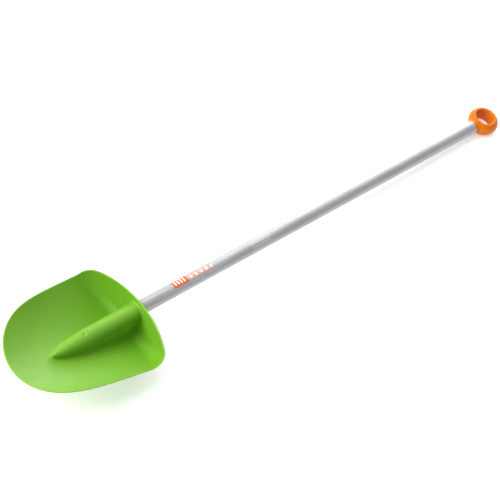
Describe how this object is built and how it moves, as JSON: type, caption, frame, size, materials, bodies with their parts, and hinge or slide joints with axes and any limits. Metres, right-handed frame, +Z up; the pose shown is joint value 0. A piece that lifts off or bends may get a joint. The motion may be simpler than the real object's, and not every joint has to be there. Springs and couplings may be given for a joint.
{
  "type": "children's long-handled hand shovel",
  "caption": "Child-size manual scoop shovel: dished plastic blade with socket hump, straight aluminium tube shaft and a round plastic hanging ring.",
  "frame": {"origin": "on the floor under the middle of the whole shovel, which lies on its back on the blade's heel and on the ring", "axes": "+Z up, +Y along the shovel from the nose of the blade to the hanging ring, +X across the blade to the right seen from the ring"},
  "size_m": [0.1506, 0.8336, 0.0622],
  "materials": {
    "blade_plastic": "satin moulded polypropylene, pale green",
    "shaft_aluminium": "satin clear anodised",
    "ring_plastic": "semi-gloss moulded plastic, orange",
    "screw_steel": "zinc plated",
    "label_film": null,
    "code_film": "printed film, pale grey"
  },
  "bodies": {
    "root": {"blade": "blade_plastic", "shaft_tube": "shaft_aluminium", "end_ring": "ring_plastic", "shaft_screw": "screw_steel", "maker_label": "label_film", "code_label": "code_film"}
  },
  "joints": []
}
